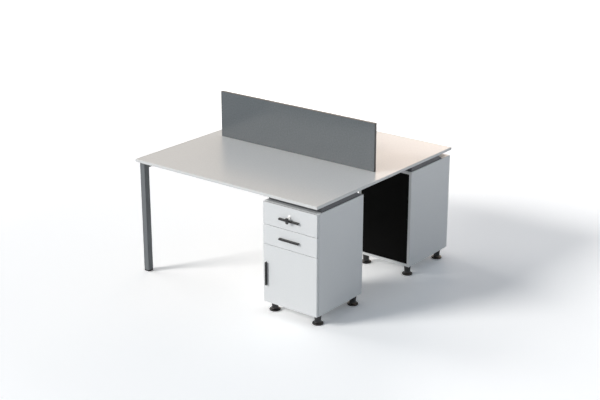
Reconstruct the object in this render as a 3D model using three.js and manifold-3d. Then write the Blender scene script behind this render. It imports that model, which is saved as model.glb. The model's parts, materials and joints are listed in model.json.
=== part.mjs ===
// A benching desk for two people who face each other across a low screen.
// A goal-post leg carries the left end, and two drawer pedestals carry the right end.
// Millimetres, +Z up. The origin is on the floor at the middle of the desk.
// +X runs along the desk to the pedestal end, and -Y is the side of the nearer user.
import * as THREE from "three";
import { mergeVertices } from "three/addons/utils/BufferGeometryUtils.js";
import Module from "manifold-3d";

const wasm = await Module();
wasm.setup();

// Clearances
const fitGap = 0.3; // between pieces that seat in or turn in each other
const frontGap = 3; // between neighbouring drawer and door fronts
const frontReveal = 1.5; // from the fronts to the outline of the pedestal
const bufferGap = 2; // from the back of a front to the carcase
const cutOver = 1; // how far a cutting tool passes the face that it opens
const joinOver = 1; // how far a block reaches into the piece it is joined to

// Desk
const deskWidth = 1400;
const deskDepth = 1400;
const deskHeight = 740;
const topThickness = 18;
const topJoint = 0.6;
const edgeEase = 0.8; // eased arris of every board

// Screen and the brackets that hold it over the joint of the tops
const screenWidth = 1200;
const screenHeight = 300;
const screenThickness = 18;
const bracketInset = 200; // from the ends of the screen
const bracketWidth = 60;
const bracketSteel = 3;
const bracketBase = 100;
const bracketReach = 60; // height of the blade inside the screen

// Goal-post leg of square steel tube
const legTube = 40;
const legWall = 2;
const legRound = 3;
const legInset = 19;
const legFootPlate = 4;
const ventDiameter = 8;
const ventHeight = 60;

// Pedestals
const pedestalWidth = 390;
const pedestalDepth = 442;
const pedestalSideInset = 3;
const pedestalFrontInset = 6;
const boardThickness = 18;
const backThickness = 8;
const backRecess = 2;

// Spacers and rails between the pedestals and the tops
const spacerHeight = 33;
const spacerSideInset = 6;
const spacerSlant = 45; // of the end that faces away from the nearer user
const spacerSetBack = { front: { face: 47, back: 18 }, rear: { face: 94, back: 8 } }; // in each pedestal
const railWidth = 40;
const railWall = 2;
const railOffset = 450; // from the joint of the tops

// Levelling feet
const footHeight = 66;
const footBaseRadius = 33.5;
const footSoleChamfer = 2;
const footRimHeight = 10;
const footRimRound = 4;
const footNeckRadius = 19.5;
const footNeckHeight = 25;
const footNeckFlare = 1; // rise of the neck's sweep over the rim
const footHeadRadius = 24.5;
const footHeadHeight = 4;
const footHeadFlare = 24; // depth of the sweep under the head
const footSideInset = 37;
const footFrontInset = 60;
const footBackInset = 40;
const studRadius = 5;
const studLength = 13;

// Drawer and door fronts
const topFrontHeight = 134.5;
const secondFrontHeight = 117.5;

// Drawer trays of folded sheet steel
const trayWall = 2;
const trayLength = 380;
const trayRise = 10; // from the bottom edge of the front to the tray
const traySideGap = 2; // from the sides of the tray to the runners
const secondTrayHeight = 78;

// Roller runners
const runnerLength = 394;
const runnerWidth = 11;
const runnerHeight = 30;
const runnerSteel = 1.5;
const runnerFrontSetBack = 4;
const runnerRise = 2; // from the bottom of the tray to the runner
const rollerRadius = 9;
const rollerSetBack = 12;
const rollerSideGap = 1; // sideways play of rollers and rims in the runner

// Bar handles
const handleLength = 144;
const handleProjection = 14.5;
const handleHeight = 10;
const handleLip = 6.5; // depth of the lip that the fingers reach behind
const handleNeck = 4.5; // height of the neck between the lip and the front
const handleEase = 1;
const topHandleDrop = 77; // from the top edges of the drawer fronts
const secondHandleDrop = 62;
const doorHandleInset = 25; // from the knee-side edge of the door

// Cup hinges
const hingeInset = 90; // from the ends of the door
const hingeCupRadius = 17.5;
const hingeCupDepth = 12.5;
const hingeCupInset = 22.5; // from the hinge-side edge of the door
const hingeArmWidth = 15;
const hingeArmLength = 72;
const hingeArmStandOff = 15;
const hingeCrankReach = 22; // from the tip of the arm to its crank
const hingeCrankLength = 8;
const hingeHeelLength = 12;
const hingeTailHeight = 3; // of the arm over its plate
const hingeLinkWidth = 8;
const hingeLinkGap = 1; // from the links to the edges of the arm
const hingePlateReach = 46; // from the tip of the arm to the middle of the plate
const hingePlateHeight = 50;
const hingePlateLength = 18;
const hingePlateThickness = 4;
const hingePlateRound = 5;

// Cam lock and its folding key
const lockDrop = 55.5; // from the top edge of the top front
const lockBezelRadius = 11;
const lockBezelHeight = 2.5;
const lockBezelEase = 1;
const lockBarrelRadius = 9;
const lockBarrelTail = 12; // from the back of the front to the cam
const camThickness = 3;
const camHalfWidth = 7;
const camRound = 6;
const camBite = 5; // how far the cam enters its slot in the carcase top
const keyBladeThickness = 2;
const keyBladeHeight = 8;
const keyBladeDepth = 12;
const keyShankRadius = 3.5;
const keyPivotReach = 24; // from the front to the pivot of the bow
const keyTongueSteel = 2;
const keyPinRadius = 1.2;
const keySwingGap = 3; // from the bow to the end of the shank
const bowWidth = 20;
const bowLength = 36;
const bowThickness = 4.5;
const bowRound = 7;
const bowEase = 0.8;
const bowHoleRadius = 3;
const bowHoleInset = 8; // from the lower end of the bow

// Heights and planes that follow from the sizes above
const topUnderside = deskHeight - topThickness;
const bracketPlace = screenWidth / 2 - bracketInset;
const pedestalTop = topUnderside - spacerHeight;
const pedestalHalf = pedestalWidth / 2;
const insideHalf = pedestalHalf - boardThickness;
const pedestalCentre = deskWidth / 2 - pedestalSideInset - pedestalHalf;
const frontFace = -deskDepth / 2 + pedestalFrontInset;
const frontBack = frontFace + boardThickness;
const carcaseFront = frontBack + bufferGap;
const carcaseBack = frontFace + pedestalDepth;
const carcaseCeiling = pedestalTop - boardThickness;
const carcaseFloor = footHeight + boardThickness;

const frontHalf = pedestalHalf - frontReveal;
const topFront = [pedestalTop - frontReveal - topFrontHeight, pedestalTop - frontReveal];
const secondFront = [topFront[0] - frontGap - secondFrontHeight, topFront[0] - frontGap];
const doorFront = [footHeight + frontReveal, secondFront[0] - frontGap];
const lockHeight = topFront[1] - lockDrop;

// One finish for each kind of surface
const finish = (color, roughness, metalness = 0) =>
  new THREE.MeshStandardMaterial({ color, roughness, metalness });
const finishes = {
  deskTop: finish(0xe6e2de, 0.35),
  white: finish(0xe3e6e8, 0.4),
  screen: finish(0x71777a, 0.6),
  legSteel: finish(0x75797d, 0.45, 0.2),
  spacer: finish(0x4a4d52, 0.6),
  blackBoard: finish(0x0d0d0e, 0.6),
  blackPlastic: finish(0x17181a, 0.35),
  handleBlack: finish(0x131415, 0.45),
  zinc: finish(0xb9bdc1, 0.35, 0.9),
  trayPaint: finish(0x8d9194, 0.45, 0.2),
  chrome: finish(0xd9dbdd, 0.15, 1),
};

// Local axes of an outline before it is extruded along X, Y or Z
const axisX = new THREE.Vector3(1, 0, 0);
const axisY = new THREE.Vector3(0, 1, 0);
const axisZ = new THREE.Vector3(0, 0, 1);
const turns = {
  x: new THREE.Matrix4().makeBasis(axisY, axisZ, axisX),
  y: new THREE.Matrix4().makeBasis(axisX, axisZ, axisY.clone().negate()),
  z: new THREE.Matrix4(),
};

// Extrudes an outline from low to high along an axis, with eased ends if asked.
// The outline is read as (Y, Z) along X, as (X, Z) along Y and as (X, Y) along Z.
function extrude(shape, axis, [low, high], { ease = 0, easeSteps = 1, arcSteps = 3 } = {}) {
  const geometry = new THREE.ExtrudeGeometry(shape, {
    depth: high - low - 2 * ease,
    curveSegments: arcSteps,
    bevelEnabled: ease > 0,
    bevelThickness: ease,
    bevelSize: ease,
    bevelOffset: -ease,
    bevelSegments: easeSteps,
  });
  geometry.translate(0, 0, ease);
  geometry.applyMatrix4(turns[axis]);
  const start = { x: [low, 0, 0], y: [0, high, 0], z: [0, 0, low] }[axis];
  return geometry.translate(...start);
}

// A rectangle between two corners, with round corners if a radius is given.
function rectangle([left, right], [bottom, top], radius = 0) {
  const shape = new THREE.Shape();
  if (radius === 0) {
    shape.moveTo(left, bottom).lineTo(right, bottom).lineTo(right, top).lineTo(left, top);
    return shape;
  }
  const quarter = Math.PI / 2;
  shape.absarc(right - radius, bottom + radius, radius, -quarter, 0);
  shape.absarc(right - radius, top - radius, radius, 0, quarter);
  shape.absarc(left + radius, top - radius, radius, quarter, 2 * quarter);
  shape.absarc(left + radius, bottom + radius, radius, 2 * quarter, 3 * quarter);
  return shape;
}

function outline(points) {
  return new THREE.Shape(points.map(([u, v]) => new THREE.Vector2(u, v)));
}

function circle(u, v, radius) {
  return new THREE.Shape().absarc(u, v, radius, 0, 2 * Math.PI);
}

function cylinder(axis, [low, high], [u, v], radius, arcSteps = 8) {
  return extrude(circle(u, v, radius), axis, [low, high], { arcSteps });
}

// A cut board, given by its spans along X, Y and Z and the axis of its thickness.
function board(x, y, z, thicknessAxis) {
  const face = { x: [y, z], y: [x, z], z: [x, y] }[thicknessAxis];
  const span = { x, y, z }[thicknessAxis];
  return extrude(rectangle(...face), thicknessAxis, span, { ease: edgeEase });
}

// A block with sharp edges, used as a wall or as a cutting tool.
function block(x, y, z) {
  return extrude(rectangle(x, y), "z", z);
}

const span = (centre, size) => [centre - size / 2, centre + size / 2];

// Booleans on closed geometries
function toSolid(geometry) {
  const bare = geometry.clone();
  bare.deleteAttribute("normal");
  bare.deleteAttribute("uv");
  const merged = mergeVertices(bare, 1e-4);
  return new wasm.Manifold(
    new wasm.Mesh({
      numProp: 3,
      vertProperties: merged.attributes.position.array,
      triVerts: new Uint32Array(merged.index.array),
    }),
  );
}

function fromSolid(solid) {
  const { vertProperties, triVerts } = solid.getMesh();
  const geometry = new THREE.BufferGeometry();
  geometry.setAttribute("position", new THREE.BufferAttribute(vertProperties, 3));
  geometry.setIndex(new THREE.BufferAttribute(triVerts, 1));
  return geometry;
}

function join(...geometries) {
  return fromSolid(geometries.map(toSolid).reduce((whole, piece) => whole.add(piece)));
}

function cut(geometry, ...tools) {
  const start = toSolid(geometry);
  return fromSolid(tools.map(toSolid).reduce((whole, tool) => whole.subtract(tool), start));
}

// Adds a named piece to a group, with flat faces.
function add(group, name, geometry, material) {
  const flat = geometry.index ? geometry.toNonIndexed() : geometry;
  flat.computeVertexNormals();
  const mesh = new THREE.Mesh(flat, material);
  mesh.name = name;
  group.add(mesh);
  return mesh;
}

// Tops, butted along the middle of the desk, with notches for the screen brackets
function addTop(group, name, side) {
  const y = side < 0 ? [-deskDepth / 2, -topJoint / 2] : [topJoint / 2, deskDepth / 2];
  const x = [-deskWidth / 2, deskWidth / 2];
  const z = [topUnderside, deskHeight];
  const notchHalf = bracketSteel / 2 + fitGap;
  const notches = [-1, 1].map((end) =>
    block(
      span(end * bracketPlace, bracketWidth + 2 * fitGap),
      [-notchHalf, notchHalf],
      [topUnderside - cutOver, deskHeight + cutOver],
    ),
  );
  add(group, name, cut(board(x, y, z, "z"), ...notches), finishes.deskTop);
}

// Screen panel, which stands on the tops with a slot in its lower edge for each bracket
function addScreen(group) {
  const panel = board(
    span(0, screenWidth),
    span(0, screenThickness),
    [deskHeight, deskHeight + screenHeight],
    "y",
  );
  const slots = [-1, 1].map((end) =>
    block(
      span(end * bracketPlace, bracketWidth + 2 * fitGap),
      span(0, bracketSteel + 2 * fitGap),
      [deskHeight - cutOver, deskHeight + bracketReach + fitGap],
    ),
  );
  add(group, "screen_panel", cut(panel, ...slots), finishes.screen);
}

// An upside-down T of sheet steel: a plate under both tops and a blade up into the screen
function addScreenBracket(group, name, end) {
  const plate = topUnderside - bracketSteel;
  const tip = deskHeight + bracketReach;
  const blade = bracketSteel / 2;
  const half = bracketBase / 2;
  const profile = outline([
    [-half, plate],
    [half, plate],
    [half, topUnderside],
    [blade, topUnderside],
    [blade, tip],
    [-blade, tip],
    [-blade, topUnderside],
    [-half, topUnderside],
  ]);
  const x = span(end * bracketPlace, bracketWidth);
  add(group, name, extrude(profile, "x", x), finishes.zinc);
}

// Goal-post leg: one welded frame of square tube, hollow, with vent holes near the floor
function addLegFrame(group) {
  const left = -deskWidth / 2 + legInset;
  const reach = deskDepth / 2 - legInset;
  const goalPost = (inset, foot) => {
    const outer = reach - inset;
    const inner = reach - legTube + inset;
    const lintel = topUnderside - legTube + inset;
    return outline([
      [-outer, foot],
      [-outer, topUnderside - inset],
      [outer, topUnderside - inset],
      [outer, foot],
      [inner, foot],
      [inner, lintel],
      [-inner, lintel],
      [-inner, foot],
    ]);
  };
  const skin = extrude(goalPost(0, 0), "x", [left, left + legTube], { ease: legRound, easeSteps: 2 });
  const hollow = extrude(goalPost(legWall, legFootPlate), "x", [
    left + legWall,
    left + legTube - legWall,
  ]);
  const innerFace = reach - legTube;
  const vents = [-1, 1].map((end) =>
    cylinder(
      "y",
      span(end * innerFace, 4 * legWall),
      [left + legTube / 2, ventHeight],
      ventDiameter / 2,
    ),
  );
  add(group, "leg_frame", cut(skin, hollow, ...vents), finishes.legSteel);
}

// Steel rail under each top, from the leg frame to the spacer on the pedestal
function addRail(group, name, side) {
  const start = -deskWidth / 2 + legInset + legTube;
  const end = pedestalCentre - pedestalHalf + spacerSideInset;
  const y = span(side * railOffset, railWidth);
  const z = [pedestalTop, topUnderside];
  const profile = rectangle(y, z, legRound);
  const inset = ([low, high]) => [low + railWall, high - railWall];
  profile.holes.push(rectangle(inset(y), inset(z)));
  add(group, name, extrude(profile, "x", [start, end], { arcSteps: 1 }), finishes.legSteel);
}

// Dark block between each pedestal and its top, with one end cut at a slant
function addSpacer(group, name, side, setBack) {
  const half = pedestalHalf - spacerSideInset;
  const ends = [frontFace + setBack.face, carcaseBack - setBack.back].map((y) => -side * y);
  const [near, far] = side < 0 ? ends : ends.reverse();
  const profile = outline([
    [near, pedestalTop],
    [far, pedestalTop],
    [far - spacerSlant, topUnderside],
    [near, topUnderside],
  ]);
  const x = [pedestalCentre - half, pedestalCentre + half];
  add(group, name, extrude(profile, "x", x, { ease: edgeEase }), finishes.spacer);
}

// Carcase of a pedestal: two sides, a top, a bottom and a dark back set between them.
// X is measured from the middle of the pedestal.
function addCarcase(group, prefix) {
  const depth = [carcaseFront, carcaseBack];
  const inside = [-insideHalf, insideHalf];
  const height = [footHeight, pedestalTop];
  const inner = board([-pedestalHalf, -insideHalf], depth, height, "x");
  const outer = board([insideHalf, pedestalHalf], depth, height, "x");
  add(group, `${prefix}_side_inner`, inner, finishes.white);
  add(group, `${prefix}_side_outer`, outer, finishes.white);

  const roof = board(inside, depth, [carcaseCeiling, pedestalTop], "z");
  add(group, `${prefix}_carcase_top`, cut(roof, camSlot()), finishes.white);

  const floor = board(inside, depth, [footHeight, carcaseFloor], "z");
  const bores = footPlaces().map(({ x, y }) =>
    cylinder("z", [footHeight - cutOver, carcaseFloor + cutOver], [x, y], studRadius + fitGap),
  );
  add(group, `${prefix}_carcase_bottom`, cut(floor, ...bores), finishes.white);

  const backEnd = carcaseBack - backRecess;
  const back = board(inside, [backEnd - backThickness, backEnd], [carcaseFloor, carcaseCeiling], "y");
  add(group, `${prefix}_back_panel`, back, finishes.blackBoard);
}

// Levelling feet: a turned profile with a wide rim, a waisted neck and a threaded stud
function footPlaces() {
  const x = pedestalHalf - footSideInset;
  const nearY = frontFace + footFrontInset;
  const farY = carcaseBack - footBackInset;
  return [
    { name: "front_inner", x: -x, y: nearY },
    { name: "front_outer", x, y: nearY },
    { name: "back_inner", x: -x, y: farY },
    { name: "back_outer", x, y: farY },
  ];
}

function footGeometry() {
  const top = footHeight - fitGap;
  const shoulder = top - footHeadHeight;
  const sole = footBaseRadius - footSoleChamfer;
  const rimInner = footBaseRadius - footRimRound;
  const sweepStart = footRimHeight + footNeckFlare;
  const profile = new THREE.Path();
  profile.moveTo(0, 0).lineTo(sole, 0).lineTo(footBaseRadius, footSoleChamfer);
  profile.lineTo(footBaseRadius, footRimHeight - footRimRound);
  profile.quadraticCurveTo(footBaseRadius, footRimHeight, rimInner, footRimHeight);
  profile.quadraticCurveTo(footNeckRadius, sweepStart, footNeckRadius, footNeckHeight);
  profile.quadraticCurveTo(footNeckRadius, shoulder - footHeadFlare, footHeadRadius, shoulder);
  profile.lineTo(footHeadRadius, top).lineTo(studRadius, top);
  profile.lineTo(studRadius, top + studLength).lineTo(0, top + studLength);
  return new THREE.LatheGeometry(profile.getPoints(3), 20).applyMatrix4(
    new THREE.Matrix4().makeBasis(axisX, axisZ, axisY.clone().negate()),
  );
}

function addFeet(group, prefix) {
  for (const { name, x, y } of footPlaces()) {
    const foot = add(group, `${prefix}_foot_${name}`, footGeometry(), finishes.blackPlastic);
    foot.position.set(x, y, 0);
  }
}

// Bar handle with a finger groove along its lower side, its back on the plane of the front
function handleGeometry() {
  const half = handleHeight / 2;
  const groove = -handleProjection + handleLip;
  const ceiling = half - handleNeck;
  const profile = outline([
    [0, ceiling],
    [0, half],
    [-handleProjection, half],
    [-handleProjection, -half],
    [groove, -half],
    [groove, ceiling],
  ]);
  return extrude(profile, "x", span(0, handleLength), { ease: handleEase });
}

// A tray with rims that run on the rollers, and a roller of its own at each rear corner
function trayGeometry(bottom, top, runner) {
  const half = insideHalf - runnerWidth - traySideGap;
  const rim = insideHalf - runnerSteel - rollerSideGap;
  const rimBottom = runner + runnerSteel + 2 * rollerRadius + 2 * fitGap;
  const rimTop = rimBottom + runnerSteel;
  const inside = half - trayWall;
  const floor = bottom + trayWall;
  const right = [
    [half, bottom],
    [half, rimBottom],
    [rim, rimBottom],
    [rim, rimTop],
    [half, rimTop],
    [half, top],
    [inside, top],
    [inside, floor],
  ];
  const left = right.map(([x, z]) => [-x, z]).reverse();
  const end = frontBack + trayLength;
  const channel = extrude(outline([...right, ...left]), "y", [frontBack, end]);
  const walls = [
    [frontBack, frontBack + trayWall],
    [end - trayWall, end],
  ].map((y) => block([-half, half], y, [bottom, top]));
  const rollerCentre = [end - rollerSetBack, runner + runnerSteel + fitGap + rollerRadius];
  const rollers = [
    [-rim, -half + trayWall / 2],
    [half - trayWall / 2, rim],
  ].map((x) => cylinder("x", x, rollerCentre, rollerRadius - fitGap));
  return join(channel, ...walls, ...rollers);
}

// The runner on the side of the carcase: a channel with a roller near its front end
function runnerGeometry(runner) {
  const start = carcaseFront + runnerFrontSetBack;
  const web = insideHalf - runnerSteel;
  const lip = insideHalf - runnerWidth;
  const ceiling = runner + runnerHeight;
  const profile = outline([
    [insideHalf, runner],
    [insideHalf, ceiling],
    [lip, ceiling],
    [lip, ceiling - runnerSteel],
    [web, ceiling - runnerSteel],
    [web, runner + runnerSteel],
    [lip, runner + runnerSteel],
    [lip, runner],
  ]);
  const channel = extrude(profile, "y", [start, start + runnerLength]);
  const rollerCentre = [start + rollerSetBack, runner + runnerSteel + rollerRadius + fitGap];
  const rollerWidth = [lip + rollerSideGap, web + runnerSteel / 2];
  const roller = cylinder("x", rollerWidth, rollerCentre, rollerRadius);
  return join(channel, roller);
}

function addRunners(group, prefix, runner) {
  for (const [name, mirror] of [["inner", -1], ["outer", 1]]) {
    const mesh = add(group, `${prefix}_runner_${name}`, runnerGeometry(runner), finishes.zinc);
    mesh.scale.x = mirror;
  }
}

function addDrawers(group, prefix) {
  const front = ([bottom, top]) =>
    board([-frontHalf, frontHalf], [frontFace, frontBack], [bottom, top], "y");
  const lockBore = cylinder(
    "y",
    [frontFace - cutOver, frontBack + cutOver],
    [0, lockHeight],
    lockBarrelRadius + fitGap,
  );
  const drawers = [
    {
      name: `${prefix}_top_drawer`,
      face: cut(front(topFront), lockBore),
      bottom: topFront[0] + trayRise,
      top: lockHeight - lockBezelRadius - frontGap,
      handle: topFront[1] - topHandleDrop,
    },
    {
      name: `${prefix}_second_drawer`,
      face: front(secondFront),
      bottom: secondFront[0] + trayRise,
      top: secondFront[0] + trayRise + secondTrayHeight,
      handle: secondFront[1] - secondHandleDrop,
    },
  ];
  for (const { name, face, bottom, top, handle } of drawers) {
    const runner = bottom + runnerRise;
    add(group, `${name}_front`, face, finishes.white);
    add(group, `${name}_tray`, trayGeometry(bottom, top, runner), finishes.trayPaint);
    const bar = add(group, `${name}_handle`, handleGeometry(), finishes.handleBlack);
    bar.position.set(0, frontFace, handle);
    addRunners(group, name, runner);
  }
}

// Door with a bored cup for each hinge, and the hinge arms on the outer side of the carcase.
// The links lie folded in the cups, flush with the back of the door, and meet the tips of the arms.
function addDoor(group, prefix) {
  const panel = board([-frontHalf, frontHalf], [frontFace, frontBack], doorFront, "y");
  const hingeHeights = [doorFront[1] - hingeInset, doorFront[0] + hingeInset];
  const cupFloor = frontBack - hingeCupDepth;
  const cupDepth = [cupFloor, frontBack + cutOver];
  const cups = hingeHeights.map((z) =>
    cylinder("y", cupDepth, [frontHalf - hingeCupInset, z], hingeCupRadius),
  );
  const crest = insideHalf - hingeArmStandOff;
  const links = hingeHeights.map((z) =>
    block(
      span(crest, hingeLinkWidth),
      [cupFloor - joinOver, frontBack],
      span(z, hingeArmWidth - 2 * hingeLinkGap),
    ),
  );
  add(group, `${prefix}_door`, join(cut(panel, ...cups), ...links), finishes.white);

  const upright = new THREE.Matrix4().makeBasis(axisZ, axisY, axisX.clone().negate());
  const bar = add(
    group,
    `${prefix}_door_handle`,
    handleGeometry().applyMatrix4(upright),
    finishes.handleBlack,
  );
  bar.position.set(-frontHalf + doorHandleInset, frontFace, (doorFront[0] + doorFront[1]) / 2);

  ["upper", "lower"].forEach((name, i) => {
    add(group, `${prefix}_hinge_${name}`, hingeGeometry(hingeHeights[i]), finishes.zinc);
  });
}

// The arm is cranked: it stands off the side on its plate and reaches to the cup in the door
function hingeGeometry(height) {
  const tip = frontBack + fitGap;
  const tail = tip + hingeArmLength;
  const foot = insideHalf - hingePlateThickness;
  const crest = insideHalf - hingeArmStandOff;
  const crank = tip + hingeCrankReach;
  const arm = outline([
    [crest - hingeLinkWidth / 2, tip],
    [crest + hingeLinkWidth / 2, tip],
    [crest + hingeLinkWidth, crank],
    [insideHalf, crank + hingeCrankLength],
    [insideHalf, tail],
    [foot - hingeTailHeight, tail],
    [crest, crank + hingeHeelLength],
    [crest - hingeLinkWidth / 2, crank],
  ]);
  const plate = rectangle(
    span(tip + hingePlateReach, hingePlateLength),
    span(height, hingePlateHeight),
    hingePlateRound,
  );
  return join(
    extrude(arm, "z", span(height, hingeArmWidth)),
    extrude(plate, "x", [foot, insideHalf], { arcSteps: 2 }),
  );
}

// Cam lock in the top drawer: when it is turned, the cam rises into a slot in the carcase top
function camSpan() {
  const start = frontBack + lockBarrelTail;
  return [start, start + camThickness];
}

function camLength() {
  return carcaseCeiling + camBite - lockHeight;
}

function camSlot() {
  const sweep = Math.hypot(camLength(), camHalfWidth) + 2 * fitGap;
  const rise = carcaseCeiling - lockHeight;
  const half = Math.sqrt(sweep * sweep - rise * rise) + fitGap;
  const [start, end] = camSpan();
  return block(
    [-half, half],
    [start - 2 * fitGap, end + 2 * fitGap],
    [carcaseCeiling - cutOver, lockHeight + sweep],
  );
}

function addLock(group, prefix) {
  const face = frontFace - fitGap - lockBezelHeight;
  const [camStart, camEnd] = camSpan();
  const profile = [
    [0, face],
    [lockBezelRadius - lockBezelEase, face],
    [lockBezelRadius, face + lockBezelEase],
    [lockBezelRadius, frontFace - fitGap],
    [lockBarrelRadius, frontFace - fitGap],
    [lockBarrelRadius, camStart + camThickness / 2],
    [0, camStart + camThickness / 2],
  ].map(([radius, y]) => new THREE.Vector2(radius, y));
  const barrel = new THREE.LatheGeometry(profile, 24).translate(0, 0, lockHeight);
  const cam = extrude(
    rectangle([-camLength(), camHalfWidth], span(lockHeight, 2 * camHalfWidth), camRound),
    "y",
    [camStart, camEnd],
  );
  const keyway = block(
    span(0, keyBladeThickness + 2 * fitGap),
    [face - cutOver, face + keyBladeDepth + fitGap],
    span(lockHeight, keyBladeHeight + 2 * fitGap),
  );
  add(group, `${prefix}_lock`, cut(join(barrel, cam), keyway), finishes.chrome);
}

// Folding key: a blade and a shank with a tongue, and a bow that hangs on the tongue's pin
function addKey(group, prefix) {
  const face = frontFace - fitGap - lockBezelHeight;
  const pivot = frontFace - keyPivotReach;
  const shankEnd = pivot + bowThickness / 2 + keySwingGap;
  const blade = block(
    span(0, keyBladeThickness),
    [shankEnd + joinOver, face + keyBladeDepth],
    span(lockHeight, keyBladeHeight),
  );
  const shank = cylinder("y", [shankEnd, face - fitGap], [0, lockHeight], keyShankRadius);
  const tongue = block(
    span(0, keyTongueSteel),
    [pivot - keyPinRadius, shankEnd + joinOver],
    span(lockHeight, 4 * keyPinRadius),
  );
  const pin = cylinder("x", span(0, bowWidth / 2), [pivot, lockHeight], keyPinRadius);
  add(group, `${prefix}_key`, join(blade, shank, tongue, pin), finishes.chrome);

  const bowTop = lockHeight + 2 * keyPinRadius;
  const bowEnd = bowTop - bowLength;
  const shape = rectangle(span(0, bowWidth), [bowEnd, bowTop], bowRound);
  shape.holes.push(circle(0, bowEnd + bowHoleInset, bowHoleRadius));
  const plate = extrude(shape, "y", span(pivot, bowThickness), { ease: bowEase });
  const mouth = block(
    span(0, keyTongueSteel + 2 * fitGap),
    span(pivot, bowThickness + 2 * cutOver),
    [lockHeight - 4 * keyPinRadius, bowTop + cutOver],
  );
  const eyeWidth = span(0, bowWidth + 2 * cutOver);
  const eye = cylinder("x", eyeWidth, [pivot, lockHeight], keyPinRadius + fitGap);
  add(group, `${prefix}_key_bow`, cut(plate, mouth, eye), finishes.blackPlastic);
}

// A pedestal, built as the near one. The far one is its mirror image across the desk.
function addPedestal(group, prefix, withKey) {
  const pedestal = new THREE.Group();
  pedestal.position.x = pedestalCentre;
  pedestal.scale.y = prefix === "rear" ? -1 : 1;
  addCarcase(pedestal, prefix);
  addDrawers(pedestal, prefix);
  addDoor(pedestal, prefix);
  addLock(pedestal, prefix);
  if (withKey) addKey(pedestal, prefix);
  addFeet(pedestal, prefix);
  group.add(pedestal);
}

const desk = new THREE.Group();
addTop(desk, "desktop_front", -1);
addTop(desk, "desktop_rear", 1);
addScreen(desk);
addScreenBracket(desk, "screen_bracket_left", -1);
addScreenBracket(desk, "screen_bracket_right", 1);
addLegFrame(desk);
addRail(desk, "rail_front", -1);
addRail(desk, "rail_rear", 1);
addSpacer(desk, "spacer_front", -1, spacerSetBack.front);
addSpacer(desk, "spacer_rear", 1, spacerSetBack.rear);
addPedestal(desk, "front", true);
addPedestal(desk, "rear", false);

export default desk;
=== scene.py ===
import json
import math

import bmesh
import bpy
from mathutils import Matrix, Vector


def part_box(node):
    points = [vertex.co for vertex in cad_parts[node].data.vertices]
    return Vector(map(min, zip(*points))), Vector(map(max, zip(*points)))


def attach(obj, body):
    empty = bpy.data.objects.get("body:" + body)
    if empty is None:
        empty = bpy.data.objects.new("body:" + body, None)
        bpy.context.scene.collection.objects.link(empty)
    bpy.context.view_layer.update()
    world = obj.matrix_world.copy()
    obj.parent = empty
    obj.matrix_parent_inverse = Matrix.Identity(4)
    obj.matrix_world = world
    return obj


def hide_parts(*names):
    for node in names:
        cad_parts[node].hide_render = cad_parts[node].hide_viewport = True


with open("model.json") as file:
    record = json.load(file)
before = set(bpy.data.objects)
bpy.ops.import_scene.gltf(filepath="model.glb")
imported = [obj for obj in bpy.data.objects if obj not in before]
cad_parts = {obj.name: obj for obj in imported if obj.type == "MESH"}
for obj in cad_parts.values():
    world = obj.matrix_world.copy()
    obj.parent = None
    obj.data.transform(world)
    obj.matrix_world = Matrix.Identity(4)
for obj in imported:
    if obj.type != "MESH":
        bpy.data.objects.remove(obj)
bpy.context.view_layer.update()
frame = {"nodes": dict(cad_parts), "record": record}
nodes = frame["nodes"]
bodies = frame["record"]["behaviour"]["bodies"]
bodyOf = {node: body for body, members in bodies.items() for node in members}
scene = bpy.context.scene
scene.view_settings.view_transform = "Standard"
mm = 0.001
ends = (("front", -1), ("rear", 1))  # the two users' ends, and the side of Y that each faces
print("frame loaded:", len(nodes), "nodes")

# Camera, matched to the corners of the desk
cameraView = {
    "lens": 77.87,
    "sensor": 36,
    "place": (4.7543, -6.0409, 3.1905),
    "turn": (70.24, 0.0, 38.0),  # degrees
}
camera = bpy.data.objects.new("camera", bpy.data.cameras.new("camera"))
camera.data.lens = cameraView["lens"]
camera.data.sensor_width = cameraView["sensor"]
camera.data.sensor_fit = "HORIZONTAL"
camera.location = cameraView["place"]
camera.rotation_euler = [math.radians(angle) for angle in cameraView["turn"]]
scene.collection.objects.link(camera)
scene.camera = camera


# Node helpers
def linear(hexColour):
    channels = [int(hexColour[i:i + 2], 16) / 255 for i in (1, 3, 5)]
    return [c / 12.92 if c <= 0.04045 else ((c + 0.055) / 1.055) ** 2.4 for c in channels] + [1.0]


def addNode(tree, kind, inputs=None, **settings):
    node = tree.nodes.new(kind)
    for key, value in settings.items():
        setattr(node, key, value)
    for socket, value in (inputs or {}).items():
        if isinstance(value, bpy.types.NodeSocket):
            tree.links.new(value, node.inputs[socket])
        else:
            node.inputs[socket].default_value = value
    return node


def cellScale(size):  # texture cells of this size in mm, on Object coordinates in metres
    return 1000 / size


def noise(tree, coords, size, detail):
    inputs = {"Vector": coords, "Scale": cellScale(size), "Detail": detail}
    return addNode(tree, "ShaderNodeTexNoise", inputs).outputs["Fac"]


def crystals(tree, coords, size):
    inputs = {"Vector": coords, "Scale": cellScale(size)}
    return addNode(tree, "ShaderNodeTexVoronoi", inputs).outputs["Distance"]


def ramp(tree, value, start, end, low, high):
    inputs = {"Value": value, "From Min": start, "From Max": end, "To Min": low, "To Max": high}
    return addNode(tree, "ShaderNodeMapRange", inputs).outputs[0]


def maths(tree, operation, first, second):
    return addNode(tree, "ShaderNodeMath", {0: first, 1: second}, operation=operation).outputs[0]


def blend(tree, share, first, second):
    inputs = {0: share, 6: first, 7: second}
    return addNode(tree, "ShaderNodeMix", inputs, data_type="RGBA").outputs[2]


def relief(tree, height, strength, distance):
    inputs = {"Height": height, "Strength": strength, "Distance": distance}
    return addNode(tree, "ShaderNodeBump", inputs).outputs[0]


def newMaterial(name):
    material = bpy.data.materials.new(name)
    material.use_nodes = True
    tree = material.node_tree
    tree.nodes.clear()
    coords = addNode(tree, "ShaderNodeTexCoord").outputs["Object"]
    return material, tree, coords


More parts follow.
